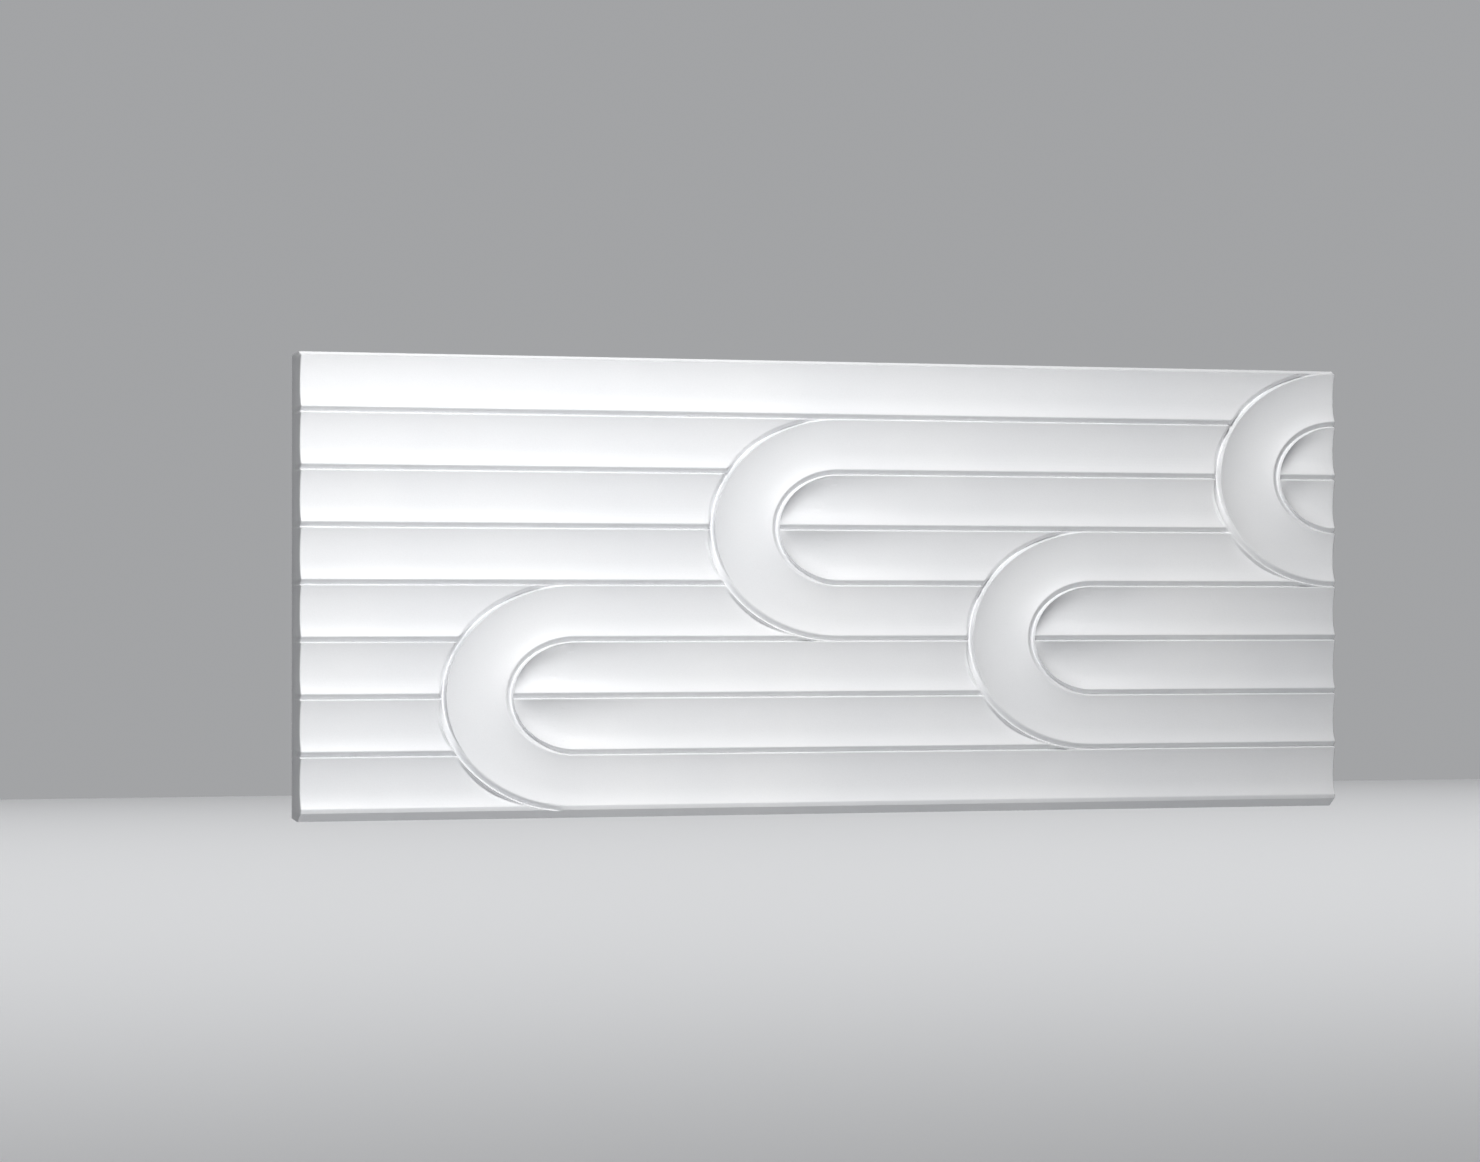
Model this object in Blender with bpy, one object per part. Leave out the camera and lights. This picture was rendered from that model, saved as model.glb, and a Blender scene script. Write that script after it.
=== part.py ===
"""Fluted wall panel with four U-bends, moulded in one piece with a flat back.

Metres, +Z up. The front faces -Y, and the back lies in the plane y = 0, against the wall.
Eight level flutes run along the panel, each parted from the next by a line, which is a small
V groove between two narrow lands. Four times a pair of flutes is a U-bend that opens to the
right. Its two rims are V grooves too, with a lip that stands over the flutes ending there.
"""

import math

import bmesh
import bpy

# Driving dimensions
PITCH = 0.060                 # from one line to the next
ROWS = 8
LENGTH = 20 * PITCH
THICKNESS = 0.037             # from the back to the lands

# Bends, from left to right: the line at the middle of each, and its distance from the
# panel's middle in pitches. The last one is cut in half by the panel's right end.
BENDS = ((6, -5), (3, 0), (5, 5), (2, 10))
INNER_RIM = PITCH             # radii of the two rims, before the bend is stretched
OUTER_RIM = 2 * PITCH
STRETCH = 1.225               # how much longer a bend is along the panel than a round one

# Section
FLUTE_DEPTH = 0.0048
GROOVE_DEPTH = 0.0022
GROOVE_HALF_WIDTH = 0.0024
LAND = 0.0009
EDGE = GROOVE_HALF_WIDTH + LAND
RIM_GROOVE_SCALE = 0.96       # a rim's groove stays just inside the line that it runs into
FADE_LENGTH = 0.030           # over which the lowest bend's outer rim fades out above the foot

# Edges of the slab
BROW_DROP = 0.001             # the front leans back a little over the last line, to end here
BROW_SET_BACK = 0.0013
FOOT_DROP = 0.0088            # chamfer along the bottom
FOOT_SET_BACK = 0.0135
MOULD_DRAFT = 0.003           # the top and bottom faces close in towards the back
HEIGHT = ROWS * PITCH + BROW_DROP + FOOT_DROP
TOP = HEIGHT / 2
FRONT = -THICKNESS

# Making
FLUTE_SEGMENTS = 10
BEND_SEGMENTS = 33            # odd, so that a level line meets a facet of the rim, not a corner
CLEARANCE = 0.003             # how far a cutter stands out of the slab
OVERLAP = 0.010               # how far a cutter reaches into the bend that trims it
TRIM_DEPTH = 0.020            # deeper than any flute, to either side of the front
HAIR = 0.00002                # keeps a trimming ring from only just touching a flute's edge
WELD = 0.000001               # points nearer than this are one point
FLAT = math.radians(0.1)      # faces that turn less than this are one face
PRIMER_WHITE = (0.86, 0.865, 0.875, 1.0)

# Turns that stand a flat outline up: across the panel, or in the plane of its front
ACROSS = (0.0, math.radians(-90), 0.0)
FRONTAL = (math.radians(90), 0.0, 0.0)


def clear_scene():
    for obj in list(bpy.data.objects):
        bpy.data.objects.remove(obj, do_unlink=True)


def new_collection(name):
    collection = bpy.data.collections.new(name)
    bpy.context.scene.collection.children.link(collection)
    return collection


def line_z(index):
    return TOP - index * PITCH


def bend_x(bend):
    return bend[1] * PITCH


def bend_z(bend):
    return line_z(bend[0])


def add_object(name, mesh, collection):
    obj = bpy.data.objects.new(name, mesh)
    collection.objects.link(obj)
    return obj


def make_cutter(obj):
    obj.hide_render = True
    obj.display_type = "WIRE"


def extruded(name, outline, turn, location, length, collection):
    """Extrude a closed flat outline, weld its caps on, and make each cap one face."""
    curve = bpy.data.curves.new(name, "CURVE")
    curve.dimensions = "2D"
    curve.fill_mode = "BOTH"
    curve.extrude = length / 2
    spline = curve.splines.new("POLY")
    spline.points.add(len(outline) - 1)
    spline.use_cyclic_u = True
    for point, (u, v) in zip(spline.points, outline):
        point.co = (u, v, 0.0, 1.0)
    shape = add_object(name + "_outline", curve, collection)
    shape.rotation_euler = turn
    shape.location = location
    bpy.context.view_layer.update()
    seen = shape.evaluated_get(bpy.context.evaluated_depsgraph_get())
    mesh = bpy.data.meshes.new_from_object(seen)
    solid = add_object(name, mesh, collection)
    solid.matrix_world = shape.matrix_world
    bpy.data.objects.remove(shape, do_unlink=True)
    bm = bmesh.new()
    bm.from_mesh(mesh)
    bmesh.ops.remove_doubles(bm, verts=bm.verts, dist=WELD)
    bmesh.ops.dissolve_limit(bm, angle_limit=FLAT, verts=bm.verts, edges=bm.edges)
    bmesh.ops.recalc_face_normals(bm, faces=bm.faces)
    bm.to_mesh(mesh)
    bm.free()
    return solid


def swept(name, section, bend, arm_ends, collection, rises=(0.0, 0.0)):
    """Turn a closed section of (radius, y) points half round a bend, and lead it out to the
    right above and below, as far as arm_ends says, rising out of the slab by as much as rises."""
    bm = bmesh.new()
    corners = [bm.verts.new((0.0, y, radius)) for radius, y in section]
    upper = [bm.edges.new(pair) for pair in zip(corners, corners[1:] + corners[:1])]
    spun = bmesh.ops.spin(bm, geom=upper, cent=(0, 0, 0), axis=(0, 1, 0), angle=-math.pi,
                          steps=BEND_SEGMENTS, use_duplicate=False)
    lower = [item for item in spun["geom_last"] if isinstance(item, bmesh.types.BMEdge)]
    for vert in bm.verts:
        if vert.co.x < 0:
            vert.co.x *= STRETCH
    for rim, end, rise in zip((upper, lower), arm_ends, rises):
        led_out = bmesh.ops.extrude_edge_only(bm, edges=rim)["geom"]
        arm = [item for item in led_out if isinstance(item, bmesh.types.BMVert)]
        bmesh.ops.translate(bm, verts=arm, vec=(end - bend_x(bend), -rise, 0))
    open_edges = [edge for edge in bm.edges if edge.is_boundary]
    bmesh.ops.holes_fill(bm, edges=open_edges, sides=0)
    bmesh.ops.recalc_face_normals(bm, faces=bm.faces)
    mesh = bpy.data.meshes.new(name)
    bm.to_mesh(mesh)
    bm.free()
    solid = add_object(name, mesh, collection)
    solid.location = (bend_x(bend), 0.0, bend_z(bend))
    return solid


def flute_section(low, high):
    """A flute's cutter between two heights or radii: an arc, open towards the front."""
    half_width = (high - low) / 2
    radius = (half_width ** 2 + FLUTE_DEPTH ** 2) / (2 * FLUTE_DEPTH)
    half_angle = math.asin(half_width / radius)
    section = []
    for step in range(FLUTE_SEGMENTS + 1):
        angle = half_angle * (2 * step / FLUTE_SEGMENTS - 1)
        across = (low + high) / 2 + radius * math.sin(angle)
        depth = radius * math.cos(angle) - radius * math.cos(half_angle)
        section.append((across, FRONT + depth))
    section.append((high, FRONT - CLEARANCE))
    section.append((low, FRONT - CLEARANCE))
    return section


def groove_section(middle, scale=1.0):
    half_width = GROOVE_HALF_WIDTH * scale
    top = FRONT - CLEARANCE * scale
    return [(middle - half_width, top),
            (middle - half_width, FRONT),
            (middle, FRONT + GROOVE_DEPTH * scale),
            (middle + half_width, FRONT),
            (middle + half_width, top)]


def half_ellipse(radius):
    """Points of a stretched half circle, from its top round the left to its bottom."""
    points = []
    for step in range(BEND_SEGMENTS + 1):
        angle = math.pi * step / BEND_SEGMENTS
        points.append((-STRETCH * radius * math.sin(angle), radius * math.cos(angle)))
    return points


def meets(bend, z):
    """Whether a level stretch at height z ends at this bend's outer rim."""
    return abs(z - bend_z(bend)) < OUTER_RIM - EDGE


def level_stretches(z):
    """Pairs of bends that a level cutter at height z runs between, None at a panel's end.

    A stretch that leads out of a bend, between its rims or along its inner rim, is left out,
    because it is an arm of that bend."""
    stretches = []
    start = None
    is_level = True
    for bend in BENDS:
        if meets(bend, z):
            if is_level:
                stretches.append((start, bend))
            start = bend
            is_level = abs(z - bend_z(bend)) < INNER_RIM - EDGE
    if is_level:
        stretches.append((start, None))
    return stretches


def next_bend(bend, z):
    """The bend at which an arm at height z ends, or None where it runs to the right end."""
    for other in BENDS[BENDS.index(bend) + 1:]:
        if meets(other, z):
            return other
    return None


def right_end(bend):
    """Where a cutter that ends at this bend, or at the panel's right end, may stop."""
    return bend_x(bend) - OVERLAP if bend else LENGTH / 2 + CLEARANCE


def trim(cutter, solid):
    modifier = cutter.modifiers.new("Trim at " + solid.name, "BOOLEAN")
    modifier.operation = "DIFFERENCE"
    modifier.solver = "EXACT"
    modifier.object = solid


def make_trims(collection):
    """What a level cutter is trimmed with: the whole bend, or only the ring of its flute."""
    whole = {}
    ring = {}
    for bend in BENDS:
        outer = half_ellipse(OUTER_RIM + EDGE)
        inner = half_ellipse(INNER_RIM - EDGE + HAIR)
        place = (bend_x(bend), FRONT, bend_z(bend))
        name = "bend_at_line_%d" % bend[0]
        whole[bend] = extruded(name, outer, FRONTAL, place, TRIM_DEPTH, collection)
        ring_outline = outer + inner[::-1]
        ring[bend] = extruded(name + "_ring", ring_outline, FRONTAL, place, TRIM_DEPTH, collection)
    for solid in collection.objects:
        make_cutter(solid)
    return whole, ring


def make_level_cutters(name, section, z, trims, collection):
    whole, ring = trims
    for number, (start, end) in enumerate(level_stretches(z)):
        x_start = bend_x(start) - STRETCH * INNER_RIM if start else -LENGTH / 2 - CLEARANCE
        x_end = right_end(end)
        place = ((x_start + x_end) / 2, 0.0, 0.0)
        cutter = extruded("%s_%d" % (name, number), section, ACROSS, place, x_end - x_start, collection)
        if start:
            trim(cutter, ring[start])
        if end:
            trim(cutter, whole[end])


def make_bend_cutter(name, section, bend, radius, trims, collection):
    """The cutter of a bend's flute or inner rim, with its arms at this radius."""
    arm_bends = [next_bend(bend, bend_z(bend) + side * radius) for side in (1, -1)]
    arm_ends = [right_end(other) for other in arm_bends]
    cutter = swept(name, section, bend, arm_ends, collection)
    for other in arm_bends:
        if other:
            trim(cutter, trims[0][other])


def make_outer_rim_cutter(name, bend, collection):
    """An outer rim runs into the lines above and below it, or fades out over the foot."""
    section = groove_section(OUTER_RIM, RIM_GROOVE_SCALE)
    run_in = bend_x(bend) + CLEARANCE
    if bend_z(bend) - OUTER_RIM > line_z(ROWS) + HAIR:
        swept(name, section, bend, (run_in, run_in), collection)
    else:
        ends = (run_in, bend_x(bend) + FADE_LENGTH)
        swept(name, section, bend, ends, collection, (0.0, 1.2 * GROOVE_DEPTH))


def make_cutters(trims, collection):
    for row in range(ROWS):
        low = line_z(row + 1) + EDGE
        high = line_z(row) - EDGE
        make_level_cutters("flute_%d" % row, flute_section(low, high), (low + high) / 2, trims, collection)
    for line in range(1, ROWS):
        section = groove_section(line_z(line))
        make_level_cutters("line_%d" % line, section, line_z(line), trims, collection)
    for bend in BENDS:
        name = "bend_%d" % bend[0]
        flute = flute_section(INNER_RIM + EDGE, OUTER_RIM - EDGE)
        middle = (INNER_RIM + OUTER_RIM) / 2
        make_bend_cutter(name + "_flute", flute, bend, middle, trims, collection)
        make_bend_cutter(name + "_inner_rim", groove_section(INNER_RIM), bend, INNER_RIM, trims, collection)
        make_outer_rim_cutter(name + "_outer_rim", bend, collection)
    for cutter in collection.objects:
        make_cutter(cutter)


def make_slab(collection):
    """The slab before it is carved, from its end view as (z, y) points."""
    brow = line_z(ROWS) - BROW_DROP
    bottom = brow - FOOT_DROP
    outline = [(TOP - MOULD_DRAFT, 0.0),
               (TOP, FRONT + GROOVE_DEPTH),
               (TOP - GROOVE_HALF_WIDTH, FRONT),
               (line_z(ROWS) + EDGE, FRONT),
               (brow, FRONT + BROW_SET_BACK),
               (bottom, FRONT + FOOT_SET_BACK),
               (bottom + MOULD_DRAFT, 0.0)]
    return extruded("wall_panel", outline, ACROSS, (0.0, 0.0, 0.0), LENGTH, collection)


def primer():
    material = bpy.data.materials.new("white_primer")
    material.use_nodes = True
    shader = material.node_tree.nodes["Principled BSDF"]
    shader.inputs["Base Color"].default_value = PRIMER_WHITE
    shader.inputs["Roughness"].default_value = 0.5
    shader.inputs["Metallic"].default_value = 0.0
    material.diffuse_color = PRIMER_WHITE
    return material


def main():
    clear_scene()
    parts = new_collection("Wall panel")
    cutters = new_collection("Cutters")
    trimmers = new_collection("Trims")
    trims = make_trims(trimmers)
    make_cutters(trims, cutters)
    panel = make_slab(parts)
    panel.data.materials.clear()
    panel.data.materials.append(primer())
    panel.data.shade_smooth()
    panel.data.set_sharp_from_angle(angle=math.radians(30))
    carving = panel.modifiers.new("Carving", "BOOLEAN")
    carving.operation = "DIFFERENCE"
    carving.solver = "EXACT"
    carving.operand_type = "COLLECTION"
    carving.collection = cutters


main()
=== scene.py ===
"""Studio view of a white fluted wall panel with four U-bends, moulded in one piece.

The solid gives the panel's place and box. Its faceted front is replaced here by a fine closed mesh
of the same relief, with the soft crests and the uneven flutes of the real moulding.
Metres, +Z up. The front faces -Y and the back lies in the plane y = 0.
"""

import math

import bmesh
import bpy
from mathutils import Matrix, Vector
from mathutils.geometry import delaunay_2d_cdt

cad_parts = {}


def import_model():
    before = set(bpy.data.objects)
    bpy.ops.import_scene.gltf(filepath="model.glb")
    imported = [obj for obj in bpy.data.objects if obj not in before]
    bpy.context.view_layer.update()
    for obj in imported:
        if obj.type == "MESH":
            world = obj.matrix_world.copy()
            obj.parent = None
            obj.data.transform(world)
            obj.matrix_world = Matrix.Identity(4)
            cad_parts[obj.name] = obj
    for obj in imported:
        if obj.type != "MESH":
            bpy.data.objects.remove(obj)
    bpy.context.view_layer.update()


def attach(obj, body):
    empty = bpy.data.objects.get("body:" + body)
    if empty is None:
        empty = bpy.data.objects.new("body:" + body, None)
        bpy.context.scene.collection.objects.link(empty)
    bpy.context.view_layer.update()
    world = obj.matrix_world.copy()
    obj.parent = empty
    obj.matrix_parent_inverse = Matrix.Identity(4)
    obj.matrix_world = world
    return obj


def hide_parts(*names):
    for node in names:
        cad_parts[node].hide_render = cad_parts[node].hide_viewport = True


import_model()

# Driving dimensions, the same as the solid's
PITCH = 0.060
ROWS = 8
LENGTH = 20 * PITCH
THICKNESS = 0.037
BENDS = ((6, -5), (3, 0), (5, 5), (2, 10))    # line at the middle, pitches from the panel's middle
INNER_RIM = PITCH
OUTER_RIM = 2 * PITCH
STRETCH = 1.225               # a bend's length along the panel over its height
FLUTE_DEPTH = 0.0048
MOULD_DRAFT = 0.003           # the top and bottom faces close in by this much at the back
BROW_DROP = 0.001             # where the front turns into the foot chamfer, below the last line
BROW_SET_BACK = 0.0013
FOOT_DROP = 0.0088
FOOT_SET_BACK = 0.0135
HEIGHT = ROWS * PITCH + BROW_DROP + FOOT_DROP
TOP = HEIGHT / 2
BOTTOM = TOP - HEIGHT
FRONT = -THICKNESS

# Grooves and flutes
GROOVE_HALF = 0.00365         # from a line to the crests on both sides of it
GROOVE_WIDTH = 2 * GROOVE_HALF
GROOVE_DEPTH = 0.005
GROOVE_BOTTOM = 0.0023        # how far the groove's bottom lies below its line
SOFT_POWER = 1.1              # how the groove's upper side rounds over
STEEP_POWER = 0.8             # and its lower side
TOP_EDGE_SLOPE = 1.2          # how steeply the groove along the top edge runs out
BROW_POWER = 1.3              # how the front rounds into the foot chamfer
DEEPEST = 0.6                 # where a level flute is deepest, from its upper crest to its lower
UPPER_POWER = 2.2             # how flat a flute is at its bottom, above the deepest line
LOWER_POWER = 2.4             # and below it
END_ROUND = 0.0014            # radius of the vertical edges at both ends

# Rims of the bends, with places round a bend in degrees: 90 is its top and 270 its foot
INNER_FLIP = (225, 270)       # the inner rim's groove bottom moves to the other side of its line
OUTER_LIP = (180, 215)        # the outer rim turns from a step into a lip of its own
RIM_SINK = 0.0036             # how far the step's foot is sunk in the flutes beside it
RIM_SINK_FROM = (95, 125)     # where that starts
FOOT_MERGE = (256, 268)       # the lowest bend's outer rim runs into the brow
DROP_WIDTH = 0.0007           # the sharp drop inside an inner rim
OUTER_DROP_WIDTH = 0.0026     # the soft drop outside an outer lip

# Hollows inside the bends
SLOPE_LENGTH = 0.032          # of the slope from the inner rim down to the flutes' full depth
SLOPE_POWER = 4               # the higher, the steeper it starts
SCOOP = 1.3                   # how much is added to the flutes' depth beside the inner rim
SCOOP_END = 0.12              # how far to the right of a bend's middle that has died out

# Mesh lines, as shares of the width that each group spans
GROOVE_STEPS = (-1, -0.92, -0.82, -0.7, -0.6, -0.52, -0.44, -0.34, -0.22, -0.1, 0.02, 0.14, 0.26, 0.36,
                0.45, 0.52, 0.6, 0.7, 0.82, 0.92, 1)
TOP_STEPS_FROM = 0.1          # the top edge has only the groove's lines below this one
FLUTE_STEPS = (0.01, 0.03, 0.06, 0.1, 0.15, 0.21, 0.28, 0.36, 0.44, 0.52, 0.6, 0.68, 0.75, 0.82,
               0.88, 0.93, 0.965, 0.988)
BROW_STEPS = (0, 0.2, 0.4, 0.6, 0.8, 0.93, 1.0)
FOOT_STEPS = (0.04, 0.1, 0.3, 0.6, 0.9, 0.97, 1.0)
DROP_STEPS = (0.25, 0.5, 0.75, 1.0)
OUTER_DROP_STEPS = (0.2, 0.4, 0.6, 0.8, 1.0, 1.3)
SLOPE_STEPS = (0.05, 0.1, 0.17, 0.25, 0.33, 0.42, 0.52, 0.64, 0.8, 1.0, 1.25, 1.5, 1.75)
CHORD_STEPS = (0.0, 0.12, 0.25, 0.4, 0.55)
SCOOP_STEPS = (0.12, 0.25, 0.38, 0.51, 0.64, 0.77, 0.9, 1.0)
END_STEPS = (0.0, 0.08, 0.3, 0.6, 1.0)
BEND_STEPS = 120              # round a bend's half turn
BEND_STEP_GAP = 0.003         # least angle from one of them to a level line's end, in radians
RUN_UNDER = 0.008             # level lines nearer than this to a bend's top or foot end at its lip
RUN_UNDER_END = 0.0005        # the others run on under the outer rim, this far past its crest
TO_MM = 1000
TO_MICROMETRES = 1e6
NO_GAP_MM = 1e-4              # points nearer than this are one
SHARP_ANGLE = 38              # edges that bend more than this, in degrees, stay sharp
HAIR = 1e-7                   # a bend's middle line belongs to the level part

# Primer
DEEP_TINT = (0.835, 0.842, 0.856, 1.0)
PALE_TINT = (0.885, 0.888, 0.894, 1.0)
SPECULAR = 0.35

# Studio
DISPLAY_GAMMA = 0.82
WORLD_TINT = (0.97, 0.98, 1.0, 1.0)
WORLD_FRONT = 0.03
WORLD_BEHIND = 0.45
WORLD_TURN = (-0.3, 0.6)      # how far back a direction points where the one turns into the other
FLOOR_TINT = (0.88, 0.885, 0.895, 1.0)
FLOOR_ROUGHNESS = 0.8
FLOOR_HALF = 30
FLOOR_BELOW = 1.2
PANEL = (0.0, 0.0, 0.0)
LIGHTS = (("key", (-0.75, -2.4, 2.4), PANEL, 0.4, 0.4, 94),
          ("strip", (-0.55, -1.0, 0.22), PANEL, 0.3, 1.2, 3.7),
          ("floor", (7.0, 19.0, 5.0), (7.0, 19.0, 0.0), 32.0, 24.0, 1800))

# Camera
SENSOR_WIDTH = 36.0
PICTURE_WIDTH = 1480          # pixels
FOCAL_PIXELS = 4640.27
CAMERA_PLACE = (-1.8289, -4.7166)
CAMERA_BELOW_MIDDLE = 0.03014    # under the middle line
CAMERA_PITCH = 90.37          # degrees; 90 is level
CAMERA_YAW = -20.12
CAMERA_REACH = 100.0


def line_z(index):
    return TOP - index * PITCH


def smooth(value):
    value = min(max(value, 0.0), 1.0)
    return value * value * (3 - 2 * value)


def soft_side(share):
    """A groove's side that rounds over slowly at its crest, from 0 there to 1 at the bottom."""
    return smooth(share ** SOFT_POWER)


def steep_side(share):
    """The groove's other side, which drops at once."""
    return smooth(share) ** STEEP_POWER


def groove(down, bottom):
    """Depth of a groove below its line: a soft slope down to the bottom, then a steep one up."""
    if bottom < 0:
        down, bottom = -down, -bottom
    if down < bottom:
        return GROOVE_DEPTH * soft_side((down + GROOVE_HALF) / (bottom + GROOVE_HALF))
    return GROOVE_DEPTH * steep_side((GROOVE_HALF - down) / (GROOVE_HALF - bottom))


def flute(along, deepest):
    """Depth of a flute at a share of the way from its first crest to the other."""
    if along < deepest:
        return FLUTE_DEPTH * (1 - ((deepest - along) / deepest) ** UPPER_POWER)
    return FLUTE_DEPTH * (1 - ((along - deepest) / (1 - deepest)) ** LOWER_POWER)


def flute_along(down):
    return (down - GROOVE_HALF) / (PITCH - GROOVE_WIDTH)


def level_depth(z):
    """Depth where no bend is: flutes, grooves, the top edge and the foot."""
    below_top = TOP - z
    if below_top < GROOVE_HALF:
        if below_top < GROOVE_BOTTOM:
            return GROOVE_DEPTH + (GROOVE_BOTTOM - below_top) * TOP_EDGE_SLOPE
        return groove(below_top, GROOVE_BOTTOM)
    below_last = line_z(ROWS) - z
    if below_last > BROW_DROP:
        share = (below_last - BROW_DROP) / FOOT_DROP
        return BROW_SET_BACK + share * (FOOT_SET_BACK - BROW_SET_BACK)
    if below_last > -GROOVE_HALF:
        share = (below_last + GROOVE_HALF) / (BROW_DROP + GROOVE_HALF)
        return BROW_SET_BACK * share ** BROW_POWER
    line = round(below_top / PITCH)
    down = below_top - line * PITCH
    if abs(down) <= GROOVE_HALF:
        return groove(down, GROOVE_BOTTOM)
    return flute(flute_along(down % PITCH), DEEPEST)


def turned(angle, stretch):
    """How far an angle has turned through a stretch of degrees, as a smooth 0 to 1."""
    start, end = stretch
    return smooth((math.degrees(angle) - start) / (end - start))


def band_depth(radius, angle, level):
    """Depth from a bend's inner rim to its outer rim, both of them included."""
    inward = INNER_RIM - radius
    if abs(inward) <= GROOVE_HALF:
        return groove(inward, GROOVE_BOTTOM * (1 - 2 * turned(angle, INNER_FLIP)))
    inward = OUTER_RIM - radius
    if abs(inward) > GROOVE_HALF:
        return flute(flute_along(inward), 0.5 + (DEEPEST - 0.5) * math.sin(angle))
    lipped = turned(angle, OUTER_LIP)
    sunk = RIM_SINK * turned(angle, RIM_SINK_FROM)
    above = max(inward + GROOVE_HALF, 0.0) / (GROOVE_BOTTOM + GROOVE_HALF)
    if above < 1:
        step = max(level, GROOVE_DEPTH * soft_side(above)) + sunk * soft_side(above)
    else:
        step = max(level, GROOVE_DEPTH) + sunk
        step *= steep_side((GROOVE_HALF - inward) / (GROOVE_HALF - GROOVE_BOTTOM))
    return (1 - lipped) * step + lipped * groove(inward, -GROOVE_BOTTOM)


def scoop_end(pitches):
    """Where a bend's deeper hollow ends, from its middle: at the panel's end on the last bend."""
    return min(SCOOP_END, LENGTH / 2 - pitches * PITCH)


def scooped(u, v, end):
    """How many times as deep as elsewhere a bend's inner flutes are: most at its inner rim."""
    if abs(v) < GROOVE_HALF:
        return 1.0
    reach = STRETCH * (INNER_RIM - GROOVE_HALF)
    return 1 + SCOOP * smooth((end - u) / (end + reach))


def rim_slope(u, v, inside):
    """The share of that depth reached at a distance inside a bend's inner rim."""
    cut = smooth(inside / DROP_WIDTH)
    if abs(v) < GROOVE_HALF:
        return cut
    left = -u / (STRETCH * (INNER_RIM - GROOVE_HALF))
    return cut * (1 - smooth(2 * left) * max(0.0, 1 - inside / SLOPE_LENGTH) ** SLOPE_POWER)


def end_depth(x):
    """Depth of the rounded vertical edge at either end."""
    inset = END_ROUND - (LENGTH / 2 - abs(x))
    if inset <= 0:
        return 0.0
    return END_ROUND - math.sqrt(max(END_ROUND ** 2 - inset ** 2, 0.0))


def depth(x, z):
    """How far the front lies behind the plane of its crests."""
    level = level_depth(z)
    relief = level
    for line, pitches in BENDS:
        u = x - pitches * PITCH
        v = z - line_z(line)
        radius = math.hypot(u / STRETCH, v)
        if u >= -HAIR and abs(v) < INNER_RIM - GROOVE_HALF:
            relief *= scooped(u, v, scoop_end(pitches))
        if u >= -HAIR or radius > OUTER_RIM + GROOVE_HALF + OUTER_DROP_WIDTH:
            continue
        angle = math.atan2(v, u / STRETCH) % (2 * math.pi)
        if radius > OUTER_RIM + GROOVE_HALF:
            drop = smooth((radius - OUTER_RIM - GROOVE_HALF) / OUTER_DROP_WIDTH)
            relief *= 1 - turned(angle, OUTER_LIP) * (1 - drop)
        elif radius >= INNER_RIM - GROOVE_HALF:
            relief = band_depth(radius, angle, level)
            if line == ROWS - 2 and radius > OUTER_RIM - GROOVE_HALF:
                relief += (level - relief) * turned(angle, FOOT_MERGE)
        else:
            inside = INNER_RIM - GROOVE_HALF - radius
            relief *= scooped(u, v, scoop_end(pitches)) * rim_slope(u, v, inside)
    if TOP - z < GROOVE_HALF or line_z(ROWS) + GROOVE_HALF > z:
        relief = max(relief, level)
    return relief + end_depth(x)


def level_heights():
    """Heights of the level mesh lines, from top to bottom."""
    heights = [TOP]
    for step in GROOVE_STEPS:
        if step > TOP_STEPS_FROM:
            heights.append(TOP - step * GROOVE_HALF)
    for row in range(ROWS):
        for step in FLUTE_STEPS:
            heights.append(line_z(row) - GROOVE_HALF - step * (PITCH - GROOVE_WIDTH))
        if row + 1 < ROWS:
            heights.extend(line_z(row + 1) - step * GROOVE_HALF for step in GROOVE_STEPS)
    for share in BROW_STEPS:
        heights.append(line_z(ROWS) + GROOVE_HALF - share * (BROW_DROP + GROOVE_HALF))
    for share in FOOT_STEPS:
        heights.append(line_z(ROWS) - BROW_DROP - share * FOOT_DROP)
    return heights


def band_radii():
    """Radii of the mesh lines that follow a bend, from rim to rim."""
    radii = [INNER_RIM + step * GROOVE_HALF for step in GROOVE_STEPS]
    radii += [OUTER_RIM + step * GROOVE_HALF for step in GROOVE_STEPS]
    radii += [INNER_RIM + GROOVE_HALF + step * (PITCH - GROOVE_WIDTH) for step in FLUTE_STEPS]
    return radii


def lip_x(bend, z, radius):
    """Where a bend's lip of this radius crosses a height."""
    v = z - line_z(bend[0])
    return bend[1] * PITCH - STRETCH * math.sqrt(max(radius ** 2 - v ** 2, 0.0))


def under_top(places):
    """A bend's line as far as it lies below the panel's top edge."""
    kept = [place for place in places if place[1] <= TOP]
    if len(kept) < len(places):
        above = places[len(places) - len(kept) - 1]
        share = (above[1] - TOP) / (above[1] - kept[0][1])
        kept.insert(0, (above[0] + share * (kept[0][0] - above[0]), TOP))
    return kept


def ring(bend, angles, radius):
    """Places along a bend at one radius."""
    x, z = bend[1] * PITCH, line_z(bend[0])
    return under_top([(x + STRETCH * radius * math.cos(angle), z + radius * math.sin(angle))
                      for angle in angles])


class Plan:
    """The front seen flat: points and the lines between them, in millimetres."""

    def __init__(self):
        self.points = []
        self.lines = []
        self.index = {}

    def point(self, x, z):
        """The number of the point here, which is new if none lies within a micrometre."""
        key = (round(x * TO_MICROMETRES), round(z * TO_MICROMETRES))
        if key not in self.index:
            self.index[key] = len(self.points)
            self.points.append(Vector((x * TO_MM, z * TO_MM)))
        return self.index[key]

    def chain(self, places):
        indices = [self.point(x, z) for x, z in places]
        for pair in zip(indices, indices[1:]):
            if pair[0] != pair[1]:
                self.lines.append(pair)

    def upright(self, x, top, bottom):
        self.chain(((x, top), (x, bottom)))


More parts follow.
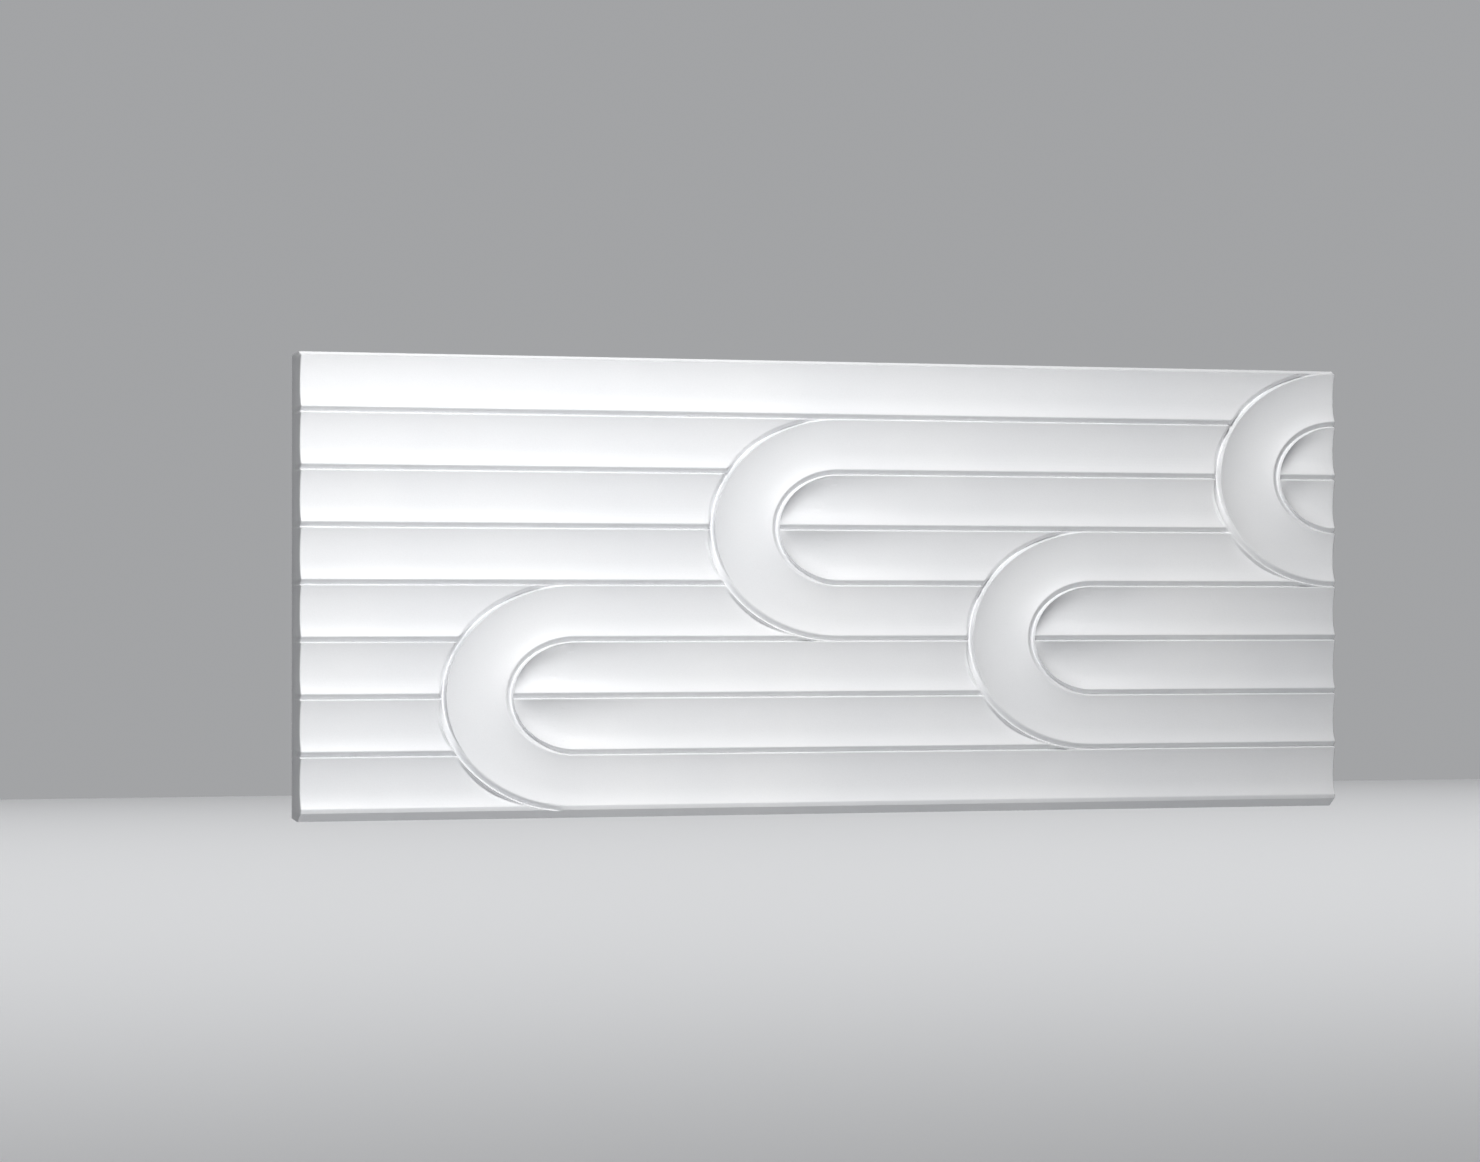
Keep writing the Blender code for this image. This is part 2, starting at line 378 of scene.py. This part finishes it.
def draw_level_lines(plan, outer_lip, inner_lip):
    """The level lines, and where they end at each bend's lips, as heights from its middle."""
    met = {(bend, lip): [] for bend in BENDS for lip in (outer_lip, inner_lip)}
    for z in level_heights():
        start = -LENGTH / 2
        for bend in BENDS:
            v = z - line_z(bend[0])
            if abs(v) >= outer_lip:
                continue
            if abs(v) < OUTER_RIM - RUN_UNDER:
                end = lip_x(bend, z, OUTER_RIM - GROOVE_HALF - RUN_UNDER_END)
            else:
                end = lip_x(bend, z, outer_lip)
                met[bend, outer_lip].append(v)
            plan.chain(((start, z), (end, z)))
            start = bend[1] * PITCH
            if abs(v) < inner_lip:
                start = lip_x(bend, z, inner_lip)
                met[bend, inner_lip].append(v)
        if start < LENGTH / 2 - HAIR:
            plan.chain(((start, z), (LENGTH / 2, z)))
    return met


def draw_bend(plan, bend, met, outer_lip, inner_lip):
    """The lines that follow a bend, and the upright ones across its hollow."""
    middle, z = bend[1] * PITCH, line_z(bend[0])
    regular = [math.pi / 2 + math.pi * step / BEND_STEPS for step in range(BEND_STEPS + 1)]
    for lip in (outer_lip, inner_lip):
        ends = [math.pi - math.asin(v / lip) for v in met[bend, lip]]
        kept = [a for a in regular[1:-1] if min(abs(a - end) for end in ends) > BEND_STEP_GAP]
        plan.chain(ring(bend, sorted(ends + kept + [regular[0], regular[-1]]), lip))
    for radius in band_radii():
        if inner_lip < radius < outer_lip:
            plan.chain(ring(bend, regular, radius))
    for share in DROP_STEPS:
        plan.chain(ring(bend, regular, inner_lip - share * DROP_WIDTH))
    for share in SLOPE_STEPS:
        plan.chain(ring(bend, regular, inner_lip - share * SLOPE_LENGTH))
    for share in CHORD_STEPS:
        half = inner_lip * math.sqrt(1 - share ** 2)
        plan.upright(middle - share * STRETCH * inner_lip, z + half, z - half)
    for share in SCOOP_STEPS:
        x = middle + share * SCOOP_END
        if x < LENGTH / 2:
            plan.upright(x, z + inner_lip, z - inner_lip)
    for share in OUTER_DROP_STEPS:
        plan.chain(ring(bend, regular, outer_lip + share * OUTER_DROP_WIDTH))


def draw_plan():
    plan = Plan()
    outer_lip = OUTER_RIM + GROOVE_HALF
    inner_lip = INNER_RIM - GROOVE_HALF
    met = draw_level_lines(plan, outer_lip, inner_lip)
    for bend in BENDS:
        draw_bend(plan, bend, met, outer_lip, inner_lip)
    for inset in END_STEPS:
        for side in (-1, 1):
            plan.upright(side * (LENGTH / 2 - inset * END_ROUND), TOP, BOTTOM)
    return plan


def add_front(bm):
    """The front, laid out flat in triangles and then set back by the relief's depth."""
    plan = draw_plan()
    result = delaunay_2d_cdt(plan.points, plan.lines, [], 0, NO_GAP_MM)
    flat, faces = result[0], result[2]
    front = []
    for point in flat:
        x, z = point.x / TO_MM, point.y / TO_MM
        front.append(bm.verts.new((x, FRONT + depth(x, z), z)))
    for face in faces:
        bm.faces.new([front[i] for i in face])
    bm.normal_update()
    if sum(face.normal.y * face.calc_area() for face in bm.faces) > 0:
        bmesh.ops.reverse_faces(bm, faces=bm.faces)


def add_sides_and_back(bm):
    """Four plain sides from the front's edge to the flat back, drawn in above and below."""
    rim = [(edge.verts[0], edge.verts[1]) for edge in bm.edges if edge.is_boundary]
    behind = {}
    for vert in [vert for pair in rim for vert in pair]:
        if vert not in behind:
            share = (vert.co.z - BOTTOM) / HEIGHT
            z = BOTTOM + MOULD_DRAFT + share * (HEIGHT - 2 * MOULD_DRAFT)
            behind[vert] = bm.verts.new((vert.co.x, 0.0, z))
    for first, second in rim:
        bm.faces.new((second, behind[second], behind[first], first))
    back_rim = [edge for edge in bm.edges if edge.is_boundary]
    bmesh.ops.holes_fill(bm, edges=back_rim, sides=0)
    bmesh.ops.recalc_face_normals(bm, faces=bm.faces)


def relief_mesh():
    bm = bmesh.new()
    add_front(bm)
    add_sides_and_back(bm)
    mesh = bpy.data.meshes.new("panel_relief")
    bm.to_mesh(mesh)
    bm.free()
    mesh.shade_smooth()
    mesh.set_sharp_from_angle(angle=math.radians(SHARP_ANGLE))
    return mesh


def node(tree, kind, **values):
    """A new node with its plain inputs set by name."""
    made = tree.nodes.new(kind)
    for name, value in values.items():
        made.inputs[name.replace("_", " ")].default_value = value
    return made


def noise(tree, place, scale, detail):
    texture = node(tree, "ShaderNodeTexNoise", Scale=scale, Detail=detail, Roughness=0.55)
    tree.links.new(place, texture.inputs["Vector"])
    return texture.outputs["Fac"]


def spread(tree, value, low, high, to_low, to_high):
    """A value stretched from one range to another."""
    mapped = node(tree, "ShaderNodeMapRange", From_Min=low, From_Max=high, To_Min=to_low, To_Max=to_high)
    tree.links.new(value, mapped.inputs["Value"])
    return mapped.outputs["Result"]


def mix_colours(tree, blend_type="MIX"):
    """A colour mix. Its inputs are 0 for the share, 6 and 7 for the colours; its output is 2."""
    mix = tree.nodes.new("ShaderNodeMix")
    mix.data_type = "RGBA"
    mix.blend_type = blend_type
    return mix


def primer():
    """White primer over the moulding: satin, faintly uneven, with a fine sprayed grain."""
    material = bpy.data.materials.new("white_primer")
    material.use_nodes = True
    tree = material.node_tree
    links = tree.links
    shader = tree.nodes["Principled BSDF"]
    shader.inputs["Metallic"].default_value = 0.0
    shader.inputs["Specular IOR Level"].default_value = SPECULAR
    place = node(tree, "ShaderNodeTexCoord").outputs["Object"]

    cloudy = noise(tree, place, scale=3.5, detail=3.0)
    patchy = noise(tree, place, scale=16.0, detail=4.0)
    grain = noise(tree, place, scale=420.0, detail=2.0)
    speck = noise(tree, place, scale=1500.0, detail=1.0)

    tint = mix_colours(tree)
    tint.inputs[6].default_value = DEEP_TINT
    tint.inputs[7].default_value = PALE_TINT
    links.new(spread(tree, cloudy, 0.32, 0.68, 0.0, 1.0), tint.inputs[0])
    dust = mix_colours(tree, "MULTIPLY")
    dust.inputs[0].default_value = 1.0
    links.new(tint.outputs[2], dust.inputs[6])
    links.new(spread(tree, speck, 0.3, 0.7, 0.97, 1.0), dust.inputs[7])
    links.new(dust.outputs[2], shader.inputs["Base Color"])
    links.new(spread(tree, patchy, 0.3, 0.7, 0.44, 0.56), shader.inputs["Roughness"])

    coarse = node(tree, "ShaderNodeBump", Strength=0.25, Distance=0.00012)
    fine = node(tree, "ShaderNodeBump", Strength=0.2, Distance=0.00004)
    links.new(grain, coarse.inputs["Height"])
    links.new(speck, fine.inputs["Height"])
    links.new(coarse.outputs["Normal"], fine.inputs["Normal"])
    links.new(fine.outputs["Normal"], shader.inputs["Normal"])
    return material


def world():
    """A world that is dark in front of the panel and light behind it."""
    made = bpy.data.worlds.new("studio")
    made.use_nodes = True
    tree = made.node_tree
    back = tree.nodes["Background"]
    back.inputs["Color"].default_value = WORLD_TINT
    place = node(tree, "ShaderNodeTexCoord")
    axes = node(tree, "ShaderNodeSeparateXYZ")
    tree.links.new(place.outputs["Generated"], axes.inputs["Vector"])
    strength = spread(tree, axes.outputs["Y"], *WORLD_TURN, WORLD_FRONT, WORLD_BEHIND)
    tree.links.new(strength, back.inputs["Strength"])
    return made


def light(name, place, target, width, height, power):
    """A soft light that faces a place; the camera doesn't see it."""
    data = bpy.data.lights.new(name, "AREA")
    data.shape = "RECTANGLE"
    data.size = width
    data.size_y = height
    data.energy = power
    lamp = bpy.data.objects.new(name, data)
    bpy.context.scene.collection.objects.link(lamp)
    lamp.location = place
    lamp.rotation_euler = (Vector(target) - Vector(place)).to_track_quat("-Z", "Y").to_euler()
    lamp.visible_camera = False


def studio():
    """A key high in front of the left end, a weak strip of fill, and one over the far floor."""
    scene = bpy.context.scene
    scene.view_settings.view_transform = "Standard"
    scene.view_settings.gamma = DISPLAY_GAMMA
    scene.world = world()
    for name, place, target, width, height, power in LIGHTS:
        light(name, place, target, width, height, power)


def floor():
    mesh = bpy.data.meshes.new("floor")
    bm = bmesh.new()
    bmesh.ops.create_grid(bm, x_segments=1, y_segments=1, size=FLOOR_HALF)
    bm.to_mesh(mesh)
    bm.free()
    obj = bpy.data.objects.new("floor", mesh)
    bpy.context.scene.collection.objects.link(obj)
    obj.location = (0.0, 0.0, BOTTOM - FLOOR_BELOW)
    material = bpy.data.materials.new("pale_floor")
    material.use_nodes = True
    shader = material.node_tree.nodes["Principled BSDF"]
    shader.inputs["Base Color"].default_value = FLOOR_TINT
    shader.inputs["Roughness"].default_value = FLOOR_ROUGHNESS
    obj.data.materials.append(material)


def camera():
    data = bpy.data.cameras.new("camera")
    data.sensor_fit = "HORIZONTAL"
    data.sensor_width = SENSOR_WIDTH
    data.lens = SENSOR_WIDTH * FOCAL_PIXELS / PICTURE_WIDTH
    data.clip_end = CAMERA_REACH
    obj = bpy.data.objects.new("camera", data)
    bpy.context.scene.collection.objects.link(obj)
    obj.location = (*CAMERA_PLACE, line_z(4) - CAMERA_BELOW_MIDDLE)
    obj.rotation_euler = (math.radians(CAMERA_PITCH), 0.0, math.radians(CAMERA_YAW))
    bpy.context.scene.camera = obj


def main():
    mesh = relief_mesh()
    mesh.materials.append(primer())
    panel = bpy.data.objects.new("panel_relief", mesh)
    bpy.context.scene.collection.objects.link(panel)
    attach(panel, "root")
    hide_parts("wall_panel")
    floor()
    studio()
    camera()


main()
